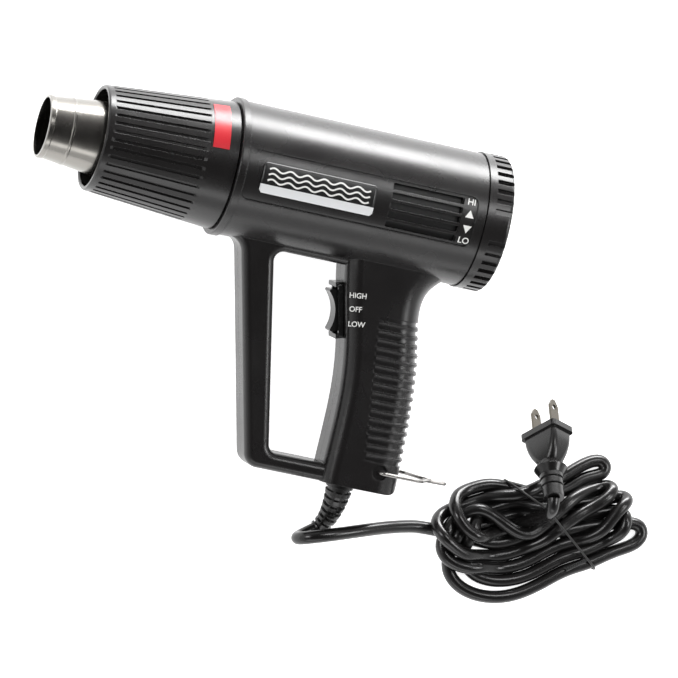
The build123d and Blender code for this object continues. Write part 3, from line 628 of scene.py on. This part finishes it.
WAVE_STEPS = 12               # points in each ripple


def wave(x0, x1, z, height, turns):
    """Points along a rippled line."""
    steps = WAVE_STEPS * turns
    return [
        (x0 + (x1 - x0) * k / steps, z + height * math.sin(2 * math.pi * turns * k / steps))
        for k in range(steps + 1)
    ]


# A generic rising-heat mark: rippled lines one above the other.
RIPPLE_X0, RIPPLE_X1 = 0.1155, 0.1715
RIPPLE_Z, RIPPLE_PITCH = -0.0012, 0.0030
RIPPLE_HEIGHT, RIPPLE_TURNS = 0.0009, 6
RIPPLE_W, RIPPLE_LIFT = 0.0009, 0.0009

ink = []
for row in range(3):
    z = RIPPLE_Z + RIPPLE_PITCH * row
    ripple = wave(RIPPLE_X0, RIPPLE_X1, z, RIPPLE_HEIGHT, RIPPLE_TURNS)
    ink.append(panel_strip(f"heat_line_{row}", ripple, RIPPLE_W, RIPPLE_LIFT, WHITE_INK))


def lettering(name, text, x, z, size, place, turn=0.0):
    """Small white marking; place(x, z) puts a flat point on the surface."""
    curve = bpy.data.curves.new(name, "FONT")
    curve.body = text
    curve.size = size
    curve.align_x, curve.align_y = "CENTER", "CENTER"
    curve.offset = size * 0.012
    written = bpy.data.objects.new(name + "_text", curve)
    bpy.context.collection.objects.link(written)
    mesh = bpy.data.meshes.new_from_object(written)
    bpy.data.objects.remove(written)
    mesh.name = name
    c, s = math.cos(turn), math.sin(turn)
    for vertex in mesh.vertices:
        a, b = vertex.co.x, vertex.co.y
        vertex.co = place(x + a * c - b * s, z + a * s + b * c)
    mesh.materials.clear()
    mesh.materials.append(WHITE_INK)
    made = bpy.data.objects.new(name, mesh)
    bpy.context.collection.objects.link(made)
    return made


GRIP_SIDE_Y = -0.01656        # just clear of the grip's left side
BARREL_INK_LIFT = 0.0001


def on_grip(x, z):
    """Point on the left side of the grip."""
    return row_point(x, GRIP_SIDE_Y, z)


def on_barrel(x, z):
    """Point just clear of the left panel's floor."""
    return on_panel(x, z, BARREL_INK_LIFT)


SWITCH_WORDS = (("HIGH", 0.1828, -0.0514), ("OFF", 0.1831, -0.0587), ("LOW", 0.1854, -0.0664))
SWITCH_WORD_TURN = math.radians(7)
SWITCH_WORD_SIZE, AIR_WORD_SIZE = 0.0040, 0.0048
AIR_X, AIR_WORD_Z = 0.2272, 0.0105
ARROW_START_Z, ARROW_H, ARROW_HALF_W = 0.0021, 0.0042, 0.0024


def air_arrow(name, way):
    """Small triangle that points up (1) or down (-1), between HI and LO."""
    base, tip = way * ARROW_START_Z, way * (ARROW_START_Z + ARROW_H)
    corners = ((AIR_X - ARROW_HALF_W, base), (AIR_X + ARROW_HALF_W, base), (AIR_X, tip))
    mesh = bpy.data.meshes.new(name)
    mesh.from_pydata([on_barrel(x, z) for x, z in corners], [], [(0, 1, 2)])
    mesh.materials.append(WHITE_INK)
    made = bpy.data.objects.new(name, mesh)
    bpy.context.collection.objects.link(made)
    return made


for word, x, z in SWITCH_WORDS:
    name = "mark_" + word.lower()
    ink.append(lettering(name, word, x, z, SWITCH_WORD_SIZE, on_grip, SWITCH_WORD_TURN))
for word, way in (("HI", 1), ("LO", -1)):
    name = "mark_" + word.lower()
    ink.append(lettering(name, word, AIR_X, way * AIR_WORD_Z, AIR_WORD_SIZE, on_barrel))
for name, way in (("arrow_up", 1), ("arrow_down", -1)):
    ink.append(air_arrow(name, way))
for piece in ink:
    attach(piece, "gun")


# ------------------------------------------------------- sheet of painted shade behind the vents, finger ribs
SCREEN_X, SCREEN_HALF_H = (0.1815, 0.2225), 0.0155
SCREEN_CORNER = 0.001
SCREEN_DEPTH = 0.0030         # how far it lies behind the panel's floor

# a near-black sheet just behind the vents makes their slots read dark: painted shade, not a dust
# filter
screen = curved_plate(
    "vent_shade_sheet", SCREEN_X, SCREEN_HALF_H, SCREEN_CORNER, -SCREEN_DEPTH, VENT_SHADE
)
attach(screen, "gun")

RIB_COUNT = 16
RIB_PITCH = 0.00466
RIB_TOP_X, RIB_TOP_Z = 0.1975, -0.0628
RIB_SLOPE = 0.129             # how much the ribs' ends step back per metre down
RIB_REACH = 0.030
RIB_R = 0.0008
RIB_SUNK = 0.0003
RIB_STEPS = 24
CLEAR_Y = 0.03                # distance from the middle plane that clears the grip
SKIN_FACING = 0.3             # the bar ends where the skin's normal has less than this sideways


def finger_rib(name, housing, x0, z, side):
    """Thin raised bar that follows the grip's skin from its side round to the back."""
    to_object = housing.matrix_world.inverted()
    aim = (to_object.to_3x3() @ row_vector(0, -side, 0)).normalized()
    skin = []
    for step in range(RIB_STEPS + 1):
        outside = row_point(x0 + RIB_REACH * step / RIB_STEPS, side * CLEAR_Y, z)
        hit, place, normal, _ = housing.ray_cast(to_object @ outside, aim)
        if not hit or -normal.dot(aim) < SKIN_FACING:
            break
        skin.append(housing.matrix_world @ (place - normal * RIB_SUNK))
    return make_curve(name, skin, RIB_R, BODY)


for part_name, side in (("housing_left", -1), ("housing_right", 1)):
    for number in range(RIB_COUNT):
        drop = RIB_PITCH * number
        rib = finger_rib(
            f"rib_{part_name}_{number}",
            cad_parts[part_name],
            RIB_TOP_X + RIB_SLOPE * drop,
            RIB_TOP_Z - drop,
            side,
        )
        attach(rib, "gun")

# ------------------------------------------------------------- floor, lights
FLOOR_GLOW = 0.9
FLOOR_REACH = 8.0


def make_floor():
    """Plain pale ground that glows a little, like a photographer's light table."""
    mesh = bpy.data.meshes.new("floor")
    signs = ((-1, -1), (1, -1), (1, 1), (-1, 1))
    corners = [(FLOOR_REACH * across, FLOOR_REACH * along, 0) for across, along in signs]
    mesh.from_pydata(corners, [], [(0, 1, 2, 3)])
    floor = bpy.data.objects.new("floor", mesh)
    bpy.context.collection.objects.link(floor)
    material, _, _, shader = new_material("floor")
    shader.inputs["Base Color"].default_value = (0.93, 0.93, 0.93, 1.0)
    shader.inputs["Roughness"].default_value = 0.75
    shader.inputs["Emission Color"].default_value = (1.0, 1.0, 1.0, 1.0)
    shader.inputs["Emission Strength"].default_value = FLOOR_GLOW
    mesh.materials.append(material)
    return floor


def area_light(name, place, target, size, power):
    """A softbox that shines on the target and isn't seen itself."""
    data = bpy.data.lights.new(name, "AREA")
    data.shape = "RECTANGLE"
    data.size, data.size_y = size
    data.energy = power
    light = bpy.data.objects.new(name, data)
    light.location = place
    aim = Vector(target) - Vector(place)
    light.rotation_mode = "QUATERNION"
    light.rotation_quaternion = aim.to_track_quat("-Z", "Y")
    light.visible_camera = False
    bpy.context.collection.objects.link(light)


floor = make_floor()

# How bright the studio is at each height, from the horizon (0) to overhead (1).
# It is dark overhead, so that the black plastic isn't washed out.
SKY = ((0.0, 0.8), (0.25, 0.8), (0.5, 0.45), (0.78, 0.14), (0.92, 0.04), (1.0, 0.02))
SKY_STRENGTH = 1.3


def make_studio():
    """Bright round the horizon, dark overhead."""
    world = bpy.data.worlds.new("studio")
    world.use_nodes = True
    nodes, links = world.node_tree.nodes, world.node_tree.links
    place = nodes.new("ShaderNodeTexCoord")
    split = nodes.new("ShaderNodeSeparateXYZ")
    links.new(place.outputs["Generated"], split.inputs["Vector"])
    ramp = nodes.new("ShaderNodeValToRGB")
    while len(ramp.color_ramp.elements) < len(SKY):
        ramp.color_ramp.elements.new(0.5)
    for stop, (height, level) in zip(ramp.color_ramp.elements, SKY):
        stop.position = height
        stop.color = (level, level, level, 1.0)
    links.new(split.outputs["Z"], ramp.inputs["Fac"])
    background = nodes["Background"]
    background.inputs["Strength"].default_value = SKY_STRENGTH
    links.new(ramp.outputs["Color"], background.inputs["Color"])
    bpy.context.scene.world = world


LIGHTS = (                    # name, place, target, width and height, power
    # one softbox overhead, off to the side, draws a broad highlight along the barrel
    ("key_box", (0.52, 0.60, 1.50), (0.05, 0.0, 0.03), (0.50, 0.34), 4.5),
    # a low strip behind the gun brightens the barrel's upper shoulder
    ("rim_strip", (0.18, 0.36, 0.05), (0.18, 0.0, 0.03), (0.54, 0.08), 2.0),
    # the others stand round the table and light the rounded edges
    ("back_strip", (0.10, 1.60, 0.30), (0.0, 0.03, 0.03), (1.5, 0.35), 30.0),
    ("left_box", (-1.3, 0.1, 1.45), (0.0, 0.0, 0.03), (0.6, 0.6), 10.0),
    ("right_box", (1.3, 0.1, 1.45), (0.05, 0.0, 0.03), (0.6, 0.6), 10.0),
    ("front_box", (0.1, -1.4, 0.9), (0.05, 0.0, 0.03), (1.4, 0.4), 4.0),
)

make_studio()
for light in LIGHTS:
    area_light(*light)
bpy.context.scene.view_settings.view_transform = "Standard"
